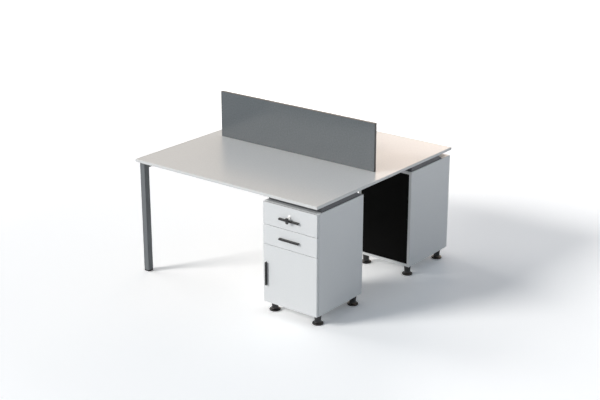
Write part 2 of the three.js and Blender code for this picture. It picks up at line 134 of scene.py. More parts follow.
def output(tree, shader):
    addNode(tree, "ShaderNodeOutputMaterial", {"Surface": shader.outputs[0]})


# Studio: a key light from the front left, a soft one from the left, and two warm ones from behind
studio = {
    "keyTravel": (0.513, 0.728, -0.454),
    "keyStrength": 2.18,
    "keyAngle": 20.0,  # degrees across, for the soft edge of the shadows
    "sideTravel": (0.9, 0.04, -0.42),
    "sideStrength": 0.8,
    "sideAngle": 32.0,
    "sunColour": "#fffdfa",
    "warmPlace": (-2.7, 6.6, 3.1),
    "warmTarget": (0.6, 0.2, 0.74),
    "warmSize": (2.6, 1.4),
    "warmPower": 47.0,
    "warmColour": "#ffe7d6",
    "panelPlace": (-4.9, 6.6, 5.2),
    "panelTarget": (-0.2, -0.4, 0.74),
    "panelSize": (5.5, 2.4),
    "panelPower": 61.0,
    "panelColour": "#ffeedb",
    "skyColour": "#dfe9f4",
    "skyOverhead": 0.15,
    "skyLow": 0.61,  # strength at the horizon
    "skyFront": 0.85,  # share of it that is left on the camera's side and behind the desk
    "skyBehind": 1.4,
    "backdropLow": "#ffffff",
    "backdropTop": "#ffeedb",  # what the backdrop turns to above the camera's view
    "backdropRise": (0.05, 0.2),  # sines of the heights where that starts and ends
    "floorAlbedo": "#e4e4e2",
    "floorNear": 1.34,  # how bright the lit floor looks near the desk, behind it and far away
    # the rise behind the desk is painted light, which lightens the shadows there
    "floorBehind": 1.45,
    "floorFar": 1.75,
    "floorBack": (0.707, 0.707, 0.0),  # the way to the back right
    "floorTurn": (0.2, 0.6),  # metres from the middle of the desk that way
    "floorFade": (2.0, 5.0),  # metres from the middle of the desk
    "floorSize": 60.0,
}


def addSun(name):
    sun = bpy.data.objects.new(name, bpy.data.lights.new(name, "SUN"))
    sun.data.energy = studio[name + "Strength"]
    sun.data.angle = math.radians(studio[name + "Angle"])
    sun.data.color = linear(studio["sunColour"])[:3]
    travel = Vector(studio[name + "Travel"])
    sun.rotation_euler = travel.to_track_quat("-Z", "Y").to_euler()
    scene.collection.objects.link(sun)


def addSoftBox(name):
    box = bpy.data.objects.new(name, bpy.data.lights.new(name, "AREA"))
    box.data.shape = "RECTANGLE"
    box.data.size, box.data.size_y = studio[name + "Size"]
    box.data.energy = studio[name + "Power"]
    box.data.color = linear(studio[name + "Colour"])[:3]
    box.location = studio[name + "Place"]
    travel = Vector(studio[name + "Target"]) - Vector(studio[name + "Place"])
    box.rotation_euler = travel.to_track_quat("-Z", "Y").to_euler()
    scene.collection.objects.link(box)


def splitRays(tree, lighting, seen):  # one shader for the light it gives, one for how it is seen
    path = addNode(tree, "ShaderNodeLightPath").outputs
    mirrored = maths(tree, "MAXIMUM", path["Is Glossy Ray"], path["Is Transmission Ray"])
    isSeen = maths(tree, "MAXIMUM", path["Is Camera Ray"], mirrored)
    inputs = {0: isSeen, 1: lighting.outputs[0], 2: seen.outputs[0]}
    return addNode(tree, "ShaderNodeMixShader", inputs)


def addSky():
    world = bpy.data.worlds.new("studio")
    scene.world = world
    world.use_nodes = True
    tree = world.node_tree
    tree.nodes.clear()
    direction = addNode(tree, "ShaderNodeTexCoord").outputs["Generated"]
    axes = addNode(tree, "ShaderNodeSeparateXYZ", {0: direction}).outputs
    height = ramp(tree, axes["Z"], 0.0, 1.0, studio["skyLow"], studio["skyOverhead"])
    depth = ramp(tree, axes["Y"], -1.0, 1.0, studio["skyFront"], studio["skyBehind"])
    strength = maths(tree, "MULTIPLY", height, depth)
    fill = addNode(
        tree,
        "ShaderNodeBackground",
        {"Color": linear(studio["skyColour"]), "Strength": strength},
    )
    rise = ramp(tree, axes["Z"], *studio["backdropRise"], 0.0, 1.0)
    tint = blend(tree, rise, linear(studio["backdropLow"]), linear(studio["backdropTop"]))
    backdrop = addNode(tree, "ShaderNodeBackground", {"Color": tint, "Strength": 1.0})
    sky = splitRays(tree, fill, backdrop)
    addNode(tree, "ShaderNodeOutputWorld", {"Surface": sky.outputs[0]})


def addFloor():
    material, tree, coords = newMaterial("floor_paper")
    across = addNode(tree, "ShaderNodeVectorMath", {0: coords}, operation="LENGTH")
    back = addNode(
        tree, "ShaderNodeVectorMath", {0: coords, 1: studio["floorBack"]}, operation="DOT_PRODUCT"
    )
    near = studio["floorNear"]
    far = ramp(tree, across.outputs["Value"], *studio["floorFade"], near, studio["floorFar"])
    # painted light: the floor is seen brighter towards the back right, which lightens the shadows
    # there
    turn = ramp(tree, back.outputs["Value"], *studio["floorTurn"], near, studio["floorBehind"])
    brightness = maths(tree, "MAXIMUM", far, turn)
    plain = addNode(tree, "ShaderNodeBsdfDiffuse", {"Color": linear(studio["floorAlbedo"])})
    bright = addNode(tree, "ShaderNodeBsdfDiffuse", {"Color": brightness})
    output(tree, splitRays(tree, plain, bright))
    mesh = bmesh.new()
    bmesh.ops.create_grid(mesh, x_segments=1, y_segments=1, size=studio["floorSize"] / 2)
    floor = bpy.data.objects.new("floor", bpy.data.meshes.new("floor"))
    mesh.to_mesh(floor.data)
    mesh.free()
    floor.data.materials.append(material)
    scene.collection.objects.link(floor)


for name in ("key", "side"):
    addSun(name)
for name in ("warm", "panel"):
    addSoftBox(name)
addSky()
addFloor()
print("studio set")


def principled(material, tree, inputs):
    output(tree, addNode(tree, "ShaderNodeBsdfPrincipled", inputs))
    return material


# Melamine-faced chipboard: a printed paper pressed in resin, satin, with a fine pearl emboss
melaminePaper = {
    "speck": 9.0,  # cells in mm; the print's specks are about 1 mm, drawn coarser so that they show
    "pearl": 2.2,
    "pearlDepth": 0.2 * mm,
    "pearlStrength": 0.06,
    "cloud": 160.0,
    "gloss": 0.03,  # how far the roughness strays
}


def melamine(name, colour, fleck, roughness, specular=0.5):
    material, tree, coords = newMaterial(name)
    paper = melaminePaper
    speck = noise(tree, coords, paper["speck"], 3.0)
    pearl = noise(tree, coords, paper["pearl"], 3.0)
    cloud = noise(tree, coords, paper["cloud"], 2.0)
    low, high = roughness - paper["gloss"], roughness + paper["gloss"]
    inputs = {
        "Base Color": blend(tree, speck, linear(colour), linear(fleck)),
        "Roughness": ramp(tree, cloud, 0.0, 1.0, low, high),
        "Normal": relief(tree, pearl, paper["pearlStrength"], paper["pearlDepth"]),
        "IOR": 1.5,
        "Specular IOR Level": specular,
    }
    return principled(material, tree, inputs)


# ABS edge band: extruded plastic, with faint drawn lines
edgeLines = {
    "line": 3.0,  # mm
    "depth": 0.2 * mm,
    "strength": 0.03,
    "gloss": 0.04,
}


def edgeBand(name, colour, roughness):
    material, tree, coords = newMaterial(name)
    lines = noise(tree, coords, edgeLines["line"], 1.0)
    low, high = roughness - edgeLines["gloss"], roughness + edgeLines["gloss"]
    inputs = {
        "Base Color": linear(colour),
        "Roughness": ramp(tree, lines, 0.0, 1.0, low, high),
        "Normal": relief(tree, lines, edgeLines["strength"], edgeLines["depth"]),
        "IOR": 1.53,
    }
    return principled(material, tree, inputs)


# Powder coat on metal: melted powder, which leaves a fine orange peel
powderPeel = {
    "grain": 0.6,  # cells of the grain, as a share of the peel's
    "grainShade": 0.86,
    "depth": 0.3 * mm,
    "strength": 0.12,
    "gloss": 0.05,
}


def powderCoat(name, colour, roughness, peel=1.8, specular=0.5):
    material, tree, coords = newMaterial(name)
    skin = noise(tree, coords, peel, 2.0)
    grain = crystals(tree, coords, peel * powderPeel["grain"])
    shade = [powderPeel["grainShade"] * channel for channel in linear(colour)[:3]] + [1.0]
    low, high = roughness - powderPeel["gloss"], roughness + powderPeel["gloss"]
    inputs = {
        "Base Color": blend(tree, grain, linear(colour), shade),
        "Roughness": ramp(tree, skin, 0.0, 1.0, low, high),
        "Normal": relief(tree, skin, powderPeel["strength"], powderPeel["depth"]),
        "IOR": 1.5,
        "Specular IOR Level": specular,
    }
    return principled(material, tree, inputs)


# Moulded plastic: a soft spark-eroded texture
sparkTexture = {
    "depth": 0.2 * mm,
    "gloss": 0.06,
}


def mouldedPlastic(name, colour, roughness, grain=0.9, strength=0.1):
    material, tree, coords = newMaterial(name)
    texture = noise(tree, coords, grain, 2.0)
    low, high = roughness - sparkTexture["gloss"], roughness + sparkTexture["gloss"]
    inputs = {
        "Base Color": linear(colour),
        "Roughness": ramp(tree, texture, 0.0, 1.0, low, high),
        "Normal": relief(tree, texture, strength, sparkTexture["depth"]),
        "IOR": 1.53,
    }
    return principled(material, tree, inputs)


# Electroplated metal: zinc with a faint spangle, or satin chrome
plating = {
    "spangle": 6.0,  # mm
    "gloss": (-0.04, 0.05),
}


def plated(name, colour, shade, roughness):
    material, tree, coords = newMaterial(name)
    spangle = crystals(tree, coords, plating["spangle"])
    low, high = (roughness + stray for stray in plating["gloss"])
    inputs = {
        "Base Color": blend(tree, spangle, linear(colour), linear(shade)),
        "Metallic": 1.0,
        "Roughness": ramp(tree, spangle, 0.0, 1.0, low, high),
    }
    return principled(material, tree, inputs)


finishes = {
    # a roughness that strays under 0.274 on the tops would show as spots in a denoised render
    "desk_top": melamine("white_melamine_top", "#d6d8d9", "#c6c8c9", 0.31, specular=0.58),
    "desk_edge": edgeBand("white_abs_edge", "#dcdddd", 0.35),
    # the undersides are grey balancing paper, made darker as painted shade, so that less light
    # bounces into the gap over the pedestals
    "desk_under": melamine("grey_balancing_paper_painted_shade", "#a9a8a5", "#a4a3a0", 0.6),
    "white_board": melamine("white_melamine", "#e4e6e7", "#dfe1e3", 0.42),
    "white_edge": edgeBand("white_abs_edge_thin", "#e6e8e9", 0.38),
    # the carcase lids get a grey face: painted shade for the shade that the tops cast on them
    "carcase_lid_painted_shade": melamine("lid_melamine_painted_shade", "#c8cbcd", "#c3c6c8", 0.5),
    "screen_board": melamine("slate_melamine", "#646a6e", "#4b5155", 0.22),
    "screen_edge": edgeBand("dark_abs_edge", "#454341", 0.45),
    "leg_steel": powderCoat("slate_powder_coat", "#797d80", 0.45, specular=0.2),
    "spacer_board": melamine("graphite_melamine", "#505357", "#4a4d51", 0.5),
    "spacer_edge": edgeBand("graphite_abs_edge", "#4e5155", 0.45),
    "black_board": melamine("black_melamine", "#030404", "#050505", 0.75, specular=0.08),
    "black_plastic": mouldedPlastic("black_polypropylene", "#0b0c0f", 0.32),
    "black_rubber": mouldedPlastic("black_polyurethane", "#1b1c1d", 0.55, grain=0.5),
    "roller_nylon": mouldedPlastic("black_nylon", "#202123", 0.4, grain=0.5, strength=0.04),
    "handle_black": powderCoat("black_powder_coat", "#090a0b", 0.42, peel=0.8),
    "zinc_steel": plated("zinc_plate", "#c3c8cc", "#aeb4b9", 0.34),
    "tray_paint": powderCoat("grey_powder_coat", "#9a9ea1", 0.42, peel=1.2),
    "lock_chrome": plated("satin_chrome", "#f6f7f8", "#edeff0", 0.3),
}
print("finishes made:", len(finishes))


# Piece helpers, in which a rounding is a pair of radius and segments
meshing = {
    "merge": 0.002 * mm,  # joins the doubled corners of a CAD mesh
    "spinMerge": 0.01 * mm,
    "same": 1e-7,  # metres between places that count as one
    "flat": 0.5,  # degrees between facets that count as one face
    "square": 0.999,  # least cosine of a face that lies square to an axis
    "sharp": 50,  # degrees, over which an edge counts as sharp
    "turnedSmooth": 35,  # degrees, under which turned and folded metal is shaded smooth
    "foldedSmooth": 30,
    "arrisSegments": 2,
}


def copyNode(node):  # a merged copy of a CAD node, with its flat faces whole
    mesh = bmesh.new()
    mesh.from_mesh(nodes[node].data)
    bmesh.ops.remove_doubles(mesh, verts=mesh.verts, dist=meshing["merge"])
    bmesh.ops.dissolve_limit(
        mesh, angle_limit=math.radians(meshing["flat"]), verts=mesh.verts, edges=mesh.edges
    )
    return mesh


def middle(node):
    low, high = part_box(node)
    return (low + high) / 2


def faceY(node, side):  # the plane that ends a node on one side of Y
    low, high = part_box(node)
    return low.y if side < 0 else high.y


def block(low, high):
    low, high = Vector(low), Vector(high)
    mesh = bmesh.new()
    place = Matrix.LocRotScale((low + high) / 2, None, high - low)
    bmesh.ops.create_cube(mesh, size=1, matrix=place)
    return mesh


def extruded(outline, travel):
    mesh = bmesh.new()
    face = mesh.faces.new([mesh.verts.new(point) for point in outline])
    grown = bmesh.ops.extrude_face_region(mesh, geom=[face])["geom"]
    moved = [item for item in grown if isinstance(item, bmesh.types.BMVert)]
    bmesh.ops.translate(mesh, verts=moved, vec=travel)
    bmesh.ops.recalc_face_normals(mesh, faces=mesh.faces)
    return mesh


def turned(profile, place, direction, steps=32):  # radii and heights in mm, spun about a direction
    mesh = bmesh.new()
    points = [mesh.verts.new((radius * mm, 0, height * mm)) for radius, height in profile]
    edges = [mesh.edges.new(pair) for pair in zip(points, points[1:])]
    bmesh.ops.spin(
        mesh,
        geom=points + edges,
        cent=(0, 0, 0),
        axis=(0, 0, 1),
        angle=2 * math.pi,
        steps=steps,
        use_merge=True,
    )
    bmesh.ops.remove_doubles(mesh, verts=mesh.verts, dist=meshing["spinMerge"])
    bmesh.ops.recalc_face_normals(mesh, faces=mesh.faces)
    turn = Vector(direction).to_track_quat("Z", "Y").to_matrix().to_4x4()
    mesh.transform(Matrix.Translation(place) @ turn)
    return mesh


def drill(size, place, direction, steps=32):  # a round cutter: its radius, start and end in mm
    radius, start, end = size
    return turned(((0, start), (radius, start), (radius, end), (0, end)), place, direction, steps)


def bevelEdges(mesh, edges, rounding):
    offset, segments = rounding
    bmesh.ops.bevel(
        mesh, geom=edges, offset=offset, segments=segments, profile=0.5, affect="EDGES", material=-1
    )


def edgesAlong(mesh, axis):  # straight edges that run along one axis
    others = [other for other in range(3) if other != axis]

    def straight(edge):
        start, end = (vert.co for vert in edge.verts)
        return all(abs(start[other] - end[other]) < meshing["same"] for other in others)

    return [edge for edge in mesh.edges if straight(edge)]


def sharpEdges(mesh):
    mesh.normal_update()
    limit = math.radians(meshing["sharp"])
    return [edge for edge in mesh.edges if abs(edge.calc_face_angle(0)) > limit]


def merged(meshes):
    whole = bmesh.new()
    for mesh in meshes:
        data = bpy.data.meshes.new("merged")
        mesh.to_mesh(data)
        mesh.free()
        whole.from_mesh(data)
        bpy.data.meshes.remove(data)
    return whole


def carved(mesh, cutters):  # Boolean cuts, applied, with the cutters removed
    def standIn(shape):
        data = bpy.data.meshes.new("carved")
        shape.to_mesh(data)
        shape.free()
        item = bpy.data.objects.new("carved", data)
        scene.collection.objects.link(item)
        return item

    body = standIn(mesh)
    tools = [standIn(cutter) for cutter in cutters]
    for tool in tools:
        cut = body.modifiers.new("cut", "BOOLEAN")
        cut.operation = "DIFFERENCE"
        cut.solver = "EXACT"
        cut.object = tool
    shaped = body.evaluated_get(bpy.context.evaluated_depsgraph_get())
    done = bpy.data.meshes.new_from_object(shaped)
    result = bmesh.new()
    result.from_mesh(done)
    bpy.data.meshes.remove(done)
    for item in [body] + tools:
        bpy.data.meshes.remove(item.data)
    return result


def addPiece(mesh, name, body, materials, replaced=(), smoothAngle=50, arris=0):
    data = bpy.data.meshes.new(name)
    mesh.to_mesh(data)
    mesh.free()
    piece = bpy.data.objects.new(name, data)
    scene.collection.objects.link(piece)
    for material in materials:
        data.materials.append(finishes[material])
    data.shade_smooth()
    data.set_sharp_from_angle(angle=math.radians(smoothAngle))
    if arris:
        bevel = piece.modifiers.new("arris", "BEVEL")
        bevel.width = arris
        bevel.segments = meshing["arrisSegments"]
        bevel.limit_method = "ANGLE"
        bevel.angle_limit = math.radians(smoothAngle)
    normals = piece.modifiers.new("flat_faces", "WEIGHTED_NORMAL")
    normals.keep_sharp = True
    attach(piece, body)
    if replaced:
        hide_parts(*replaced)


def addPlain(mesh, node, ending, slot, smoothAngle=50, arris=0):  # replaces a node, in one finish
    addPiece(mesh, node + ending, bodyOf[node], [slot], [node], smoothAngle, arris)


def addFolded(node, ending, slot, arris):  # the CAD's own shape, with its edges eased
    addPlain(copyNode(node), node, ending, slot, meshing["foldedSmooth"], arris)


def addTurned(mesh, name, body, material):
    addPiece(mesh, name, body, [material], smoothAngle=meshing["turnedSmooth"])


# Boards: faces and edge bands, with a rounded arris
boards = {
    "topRound": (1.6 * mm, 3),
    "thinRound": (1.0 * mm, 3),
    "slotGap": 0.3 * mm,
    "bladeHalf": 1.5 * mm,  # of the screen brackets
    "lockBore": (9.3, -5, 25),
    "lockSteps": 40,
    "cup": (17.5, -12.5, 5),
    "cupSteps": 48,
    "cupInset": 22.5 * mm,  # from the hinge-side edge of the door
}
hingeNames = ("upper", "lower")


# Places that several pieces share
def pedestalMiddle(end):
    return middle(f"{end}_top_drawer_front").x


def lockCentre(end, side):  # on the face of the drawer
    front = f"{end}_top_drawer_front"
    return Vector((pedestalMiddle(end), faceY(front, side), middle(f"{end}_lock").z))


def cupCentre(end, side, name):  # on the back of the door
    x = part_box(f"{end}_door")[1].x - boards["cupInset"]
    back = faceY(f"{end}_top_drawer_front", -side)
    return Vector((x, back, middle(f"{end}_hinge_{name}").z))


def thinAxis(node):
    low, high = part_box(node)
    return min(range(3), key=lambda axis: high[axis] - low[axis])


def roundedBoard(node, rounding):
    mesh = block(*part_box(node))
    bevelEdges(mesh, mesh.edges[:], rounding)
    return mesh


def addBoard(node, mesh, face, edge, under=None):
    thin = thinAxis(node)
    mesh.normal_update()
    for flat in mesh.faces:
        flat.material_index = 0 if abs(flat.normal[thin]) > meshing["square"] else 1
        if under and flat.normal.z < -meshing["square"]:
            flat.material_index = 2
    materials = [face, edge] + ([under] if under else [])
    addPiece(mesh, node + "_board", bodyOf[node], materials, [node])


def bladeSlots():  # room for the blades of the screen brackets
    gap = boards["slotGap"]
    half = boards["bladeHalf"] + gap
    slots = []
    for place in ("left", "right"):
        low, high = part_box(f"screen_bracket_{place}")
        slots.append(block((low.x - gap, -half, low.z), (high.x + gap, half, high.z + gap)))
    return slots


for end, side in ends:
    top = roundedBoard(f"desktop_{end}", boards["topRound"])
    addBoard(f"desktop_{end}", carved(top, bladeSlots()), "desk_top", "desk_edge", "desk_under")
    addBoard(f"spacer_{end}", copyNode(f"spacer_{end}"), "spacer_board", "spacer_edge")
    for part in ("side_inner", "side_outer", "second_drawer_front"):
        board = roundedBoard(f"{end}_{part}", boards["thinRound"])
        addBoard(f"{end}_{part}", board, "white_board", "white_edge")
    # the lid's grey face is painted shade under the top
    for part, face in (("carcase_top", "carcase_lid_painted_shade"), ("carcase_bottom", "white_board")):
        bored = copyNode(f"{end}_{part}")
        addBoard(f"{end}_{part}", bored, face, "white_edge")
    back = roundedBoard(f"{end}_back_panel", boards["thinRound"])
    addBoard(f"{end}_back_panel", back, "black_board", "black_board")
    inward = (0, -side, 0)
    bore = drill(boards["lockBore"], lockCentre(end, side), inward, boards["lockSteps"])
    front = roundedBoard(f"{end}_top_drawer_front", boards["thinRound"])
    addBoard(f"{end}_top_drawer_front", carved(front, [bore]), "white_board", "white_edge")
    places = [cupCentre(end, side, name) for name in hingeNames]
    cups = [drill(boards["cup"], place, inward, boards["cupSteps"]) for place in places]
    door = roundedBoard(f"{end}_door", boards["thinRound"])
    addBoard(f"{end}_door", carved(door, cups), "white_board", "white_edge")
screen = roundedBoard("screen_panel", boards["topRound"])
addBoard("screen_panel", carved(screen, bladeSlots()), "screen_board", "screen_edge")
print("boards made")

# Goal-post leg, as welded and coated, with beads in its inner corners and a glide under each post
leg = {
    "bead": 2.6 * mm,
    "beadSides": 10,
    "beadSteps": 20,
    "beadInset": 3.9 * mm,
    "ripple": 1.16,  # every second step of a bead is this much thicker
    "tube": 40 * mm,
    "glideHeight": 9 * mm,
    "glideLift": 0.05 * mm,  # off the floor
    "glideProud": 0.3 * mm,
    "glideRound": (3.2 * mm, 4),
    "glideRim": (0.8 * mm, 2),
}


def weldBead(start, end):
    mesh = bmesh.new()
    circle = bmesh.ops.create_circle(mesh, segments=leg["beadSides"], radius=leg["bead"])
    turn = (end - start).to_track_quat("Z", "Y").to_matrix().to_4x4()
    place = Matrix.Translation(start) @ turn
    bmesh.ops.transform(mesh, matrix=place, verts=circle["verts"])
    loop = mesh.edges[:]
    step = (end - start) / leg["beadSteps"]
    for i in range(leg["beadSteps"]):
        grown = bmesh.ops.extrude_edge_only(mesh, edges=loop)["geom"]
        ring = [item for item in grown if isinstance(item, bmesh.types.BMVert)]
        loop = [item for item in grown if isinstance(item, bmesh.types.BMEdge)]
        centre = Matrix.Translation(-(start + step * (i + 1)))
        size = leg["ripple"] if i % 2 == 0 else 1 / leg["ripple"]
        bmesh.ops.translate(mesh, verts=ring, vec=step)
        bmesh.ops.scale(mesh, verts=ring, vec=(1, size, size), space=centre)
    bmesh.ops.holes_fill(mesh, edges=[edge for edge in mesh.edges if edge.is_boundary])
    bmesh.ops.recalc_face_normals(mesh, faces=mesh.faces)
    return mesh


def addLeg():
    low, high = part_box("leg_frame")
    body = bodyOf["leg_frame"]
    addPlain(copyNode("leg_frame"), "leg_frame", "_tube", "leg_steel")
    corner = high.z - leg["tube"]
    inset = leg["beadInset"]
    frontPost = (low.y, low.y + leg["tube"])
    rearPost = (high.y - leg["tube"], high.y)
    beads = [
        weldBead(Vector((low.x + inset, inner, corner)), Vector((high.x - inset, inner, corner)))
        for inner in (frontPost[1], rearPost[0])
    ]
    addPiece(merged(beads), "leg_weld_beads", body, ["leg_steel"])
    proud = leg["glideProud"]
    for name, (near, far) in (("front", frontPost), ("rear", rearPost)):
        mesh = block(
            (low.x - proud, near - proud, leg["glideLift"]),
            (high.x + proud, far + proud, leg["glideHeight"]),
        )
        bevelEdges(mesh, edgesAlong(mesh, 2), leg["glideRound"])
        bevelEdges(mesh, sharpEdges(mesh), leg["glideRim"])
        addPiece(mesh, f"leg_glide_{name}", body, ["black_plastic"])


addLeg()
print("leg made")

# Levelling feet, turned about the stud
foot = {
    "steps": 48,
    "smooth": 40,  # degrees
    "profile": (  # radius and height, mm
        (0, 0), (30.6, 0), (32.6, 0.6), (33.5, 2.2), (33.5, 5.2), (33.1, 7.4), (31.8, 9.2),
        (29.6, 10), (25.6, 10.5), (22.6, 11.5), (20.9, 13.2), (20, 15.8), (19.6, 19.8), (19.5, 25),
        (19.8, 32.1), (20.7, 40.5), (22.3, 50.4), (23.5, 57), (24.5, 61.7), (24.5, 65),
        (23.9, 65.7), (5, 65.7), (5, 78.7), (0, 78.7),
    ),
}
for end, _ in ends:
    for place in ("front_inner", "front_outer", "back_inner", "back_outer"):
        node = f"{end}_foot_{place}"
        centre = middle(node)
        sole = (centre.x, centre.y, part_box(node)[0].z)
        mesh = turned(foot["profile"], sole, (0, 0, 1), foot["steps"])
        addPlain(mesh, node, "_turned", "black_plastic", foot["smooth"])
print("feet made")

# Bar handles: a drawn section with a finger groove along one side
handle = {
    "lip": 6.5 * mm,
    "neck": 4.5 * mm,
    "round": (1.3 * mm, 3),
}


def addHandle(node, side):
    low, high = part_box(node)
    size = high - low
    centre = (low + high) / 2
    upright = size.z > size.x
    back = faceY(node, -side)  # the plane of the front
    half = (size.x if upright else size.z) / 2
    groove = size.y - handle["lip"]
    ceiling = half - handle["neck"]
    section = (
        (0, ceiling), (0, half), (size.y, half), (size.y, -half), (groove, -half), (groove, ceiling)
    )
    outline = []
    for reach, rise in section:
        y = back + side * reach
        outline.append((centre.x - rise, y, low.z) if upright else (low.x, y, centre.z + rise))
    mesh = extruded(outline, (0, 0, size.z) if upright else (size.x, 0, 0))

    def onFront(edge):
        return all(abs(vert.co.y - back) < meshing["same"] for vert in edge.verts)

    rims = [edge for edge in sharpEdges(mesh) if not onFront(edge)]
    bevelEdges(mesh, rims, handle["round"])
    addPlain(mesh, node, "_bar", "handle_black")


for end, side in ends:
    for part in ("top_drawer_handle", "second_drawer_handle", "door_handle"):
        addHandle(f"{end}_{part}", side)
print("handles made")

# Screws: pan heads, and flat ones where something runs past
screws = {
    "steps": 20,
    "pan": (
        (0, 0.8), (1.2, 0.9), (1.6, 2.0), (2.2, 2.2), (3.0, 1.9), (3.6, 1.1), (3.7, 0.2),
        (3.7, -0.3), (0, -0.3),
    ),
    "flat": (
        (0, 0.1), (1.2, 0.15), (1.5, 0.45), (2.9, 0.5), (3.7, 0.25), (3.9, 0), (3.9, -0.3),
        (0, -0.3),
    ),
}


def addScrews(name, kind, places, direction, body):
    heads = [turned(screws[kind], place, direction, screws["steps"]) for place in places]
    addTurned(merged(heads), name, body, "zinc_steel")


# Steel under the tops: brackets of the screen, and rails
steel = {
    "bracketArris": 0.5 * mm,
    "railArris": 0.3 * mm,
    "screwX": 18 * mm,
    "screwY": 32 * mm,
}
for place in ("left", "right"):
    node = f"screen_bracket_{place}"
    centre, low = middle(node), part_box(node)[0]
    addFolded(node, "_bent", "zinc_steel", steel["bracketArris"])
    places = [
        (centre.x + x * steel["screwX"], y * steel["screwY"], low.z)
        for x in (-1, 1)
        for y in (-1, 1)
    ]
    addScrews(node + "_screws", "pan", places, (0, 0, -1), bodyOf[node])
for end, _ in ends:
    addFolded(f"rail_{end}", "_tube", "leg_steel", steel["railArris"])
print("brackets and rails made")

# Drawer gear: trays, and channel runners with their rollers
gear = {
    "steel": 1.5 * mm,
    "fold": (0.5 * mm, 2),
    "trayArris": 0.4 * mm,
    "rollerSetBack": 12 * mm,
    "rollerHeight": 10.8 * mm,  # from the bottom of the runner to the axle
    "rollerSteps": 40,
    "roller": (
        (0, 0), (6.5, 0), (8.4, 0), (9, 0.6), (9, 7.8), (8.4, 8.4), (6.5, 8.4), (6, 7.2),
        (2.4, 7.2), (2, 8.2), (0, 8.2),
    ),
    "tyre": (
        (0, 0), (8.3, 0), (8.9, 0.5), (8.9, 9.2), (8.3, 9.8), (5.5, 9.8), (5, 10.1), (0, 10.1),
    ),
    "tyreOut": 164.6 * mm,  # from the middle of the pedestal
    "screwInset": 44 * mm,
}


def addRunner(node, end, side):
    low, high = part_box(node)
    outward = 1 if low.x > pedestalMiddle(end) else -1
    web, lip = (high.x, low.x) if outward > 0 else (low.x, high.x)
    inner = web - outward * gear["steel"]
    shelf, roof = low.z + gear["steel"], high.z - gear["steel"]
    section = (
        (web, low.z), (web, high.z), (lip, high.z), (lip, roof),
        (inner, roof), (inner, shelf), (lip, shelf), (lip, low.z),
    )
    mesh = extruded([(x, low.y, z) for x, z in section], (0, high.y - low.y, 0))
    bevelEdges(mesh, edgesAlong(mesh, 1), gear["fold"])
    addPlain(mesh, node, "_channel", "zinc_steel")
    body = bodyOf[node]
    y = faceY(node, side) - side * gear["rollerSetBack"]
    axle = (inner, y, low.z + gear["rollerHeight"])
    roller = turned(gear["roller"], axle, (-outward, 0, 0), gear["rollerSteps"])
    addTurned(roller, node + "_roller", body, "roller_nylon")
    centre = (low + high) / 2
    inset = gear["screwInset"]
    places = [(inner, y, centre.z) for y in (low.y + inset, centre.y, high.y - inset)]
    addScrews(node + "_screws", "flat", places, (-outward, 0, 0), body)


def addTray(node, end, side):
    addFolded(node, "_folded", "tray_paint", gear["trayArris"])
    y = faceY(node, -side) + side * gear["rollerSetBack"]
    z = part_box(node.replace("tray", "runner_inner"))[0].z + gear["rollerHeight"]
    tyres = []
    for hand in (-1, 1):
        axle = (pedestalMiddle(end) + hand * gear["tyreOut"], y, z)
        tyres.append(turned(gear["tyre"], axle, (hand, 0, 0), gear["rollerSteps"]))
    addTurned(merged(tyres), node + "_rollers", bodyOf[node], "roller_nylon")


for end, side in ends:
    for drawer in ("top_drawer", "second_drawer"):
        addTray(f"{end}_{drawer}_tray", end, side)
        for hand in ("inner", "outer"):
            addRunner(f"{end}_{drawer}_runner_{hand}", end, side)
print("drawer gear made")

# Cup hinges: a pressed cup with a flange in the door, and the arm on the carcase
hinge = {
    "cup": (
        (0, -12.3), (16.4, -12.3), (17.3, -11.4), (17.3, 0), (20.4, 0.1), (20.8, 0.5), (20.4, 0.9),
        (17.2, 0.9), (16.4, 0.1), (16.4, -10.8), (15.8, -11.4), (0, -11.4),
    ),
    "cupSteps": 48,
    "flange": 0.9 * mm,
    "flangeStart": 20 * mm,
    "flangeStretch": 1.5,  # the flange is longer along the edge of the door
    "flangeScrew": 24.5 * mm,
    "link": (8 * mm, 11.2 * mm, 13 * mm),
    "linkRound": (1.5 * mm, 3),
    "linkInset": 9 * mm,  # from the middle of the cup towards the knee side
    "armArris": 0.6 * mm,
    "plate": 4 * mm,
    "plateReach": 46 * mm,
    "plateScrew": 19 * mm,
}


def addHinge(end, side, name):
    node = f"{end}_hinge_{name}"
    centre = cupCentre(end, side, name)
    addFolded(node, "_arm", "zinc_steel", hinge["armArris"])
    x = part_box(node)[1].x - hinge["plate"]
    y = faceY(node, side) - side * hinge["plateReach"]
    places = [(x, y, centre.z + hand * hinge["plateScrew"]) for hand in (-1, 1)]
    addScrews(node + "_screws", "pan", places, (-1, 0, 0), bodyOf[node])

    door = bodyOf[f"{end}_door"]
    inward = (0, -side, 0)
    cup = turned(hinge["cup"], centre, inward, hinge["cupSteps"])
    for vert in cup.verts:
        away = vert.co - centre
        if math.hypot(away.x, away.z) > hinge["flangeStart"]:
            vert.co.z = centre.z + away.z * hinge["flangeStretch"]
    width, depth, height = hinge["link"]
    x = centre.x - hinge["linkInset"]
    near, far = sorted((centre.y, centre.y + side * depth))
    link = block(
        (x - width / 2, near, centre.z - height / 2), (x + width / 2, far, centre.z + height / 2)
    )
    bevelEdges(link, edgesAlong(link, 2), hinge["linkRound"])
    addTurned(merged([cup, link]), node + "_cup", door, "zinc_steel")
    y = centre.y - side * hinge["flange"]
    places = [(centre.x, y, centre.z + hand * hinge["flangeScrew"]) for hand in (-1, 1)]
    addScrews(node + "_flange_screws", "flat", places, inward, door)


for end, side in ends:
    for name in hingeNames:
        addHinge(end, side, name)
print("hinges made")

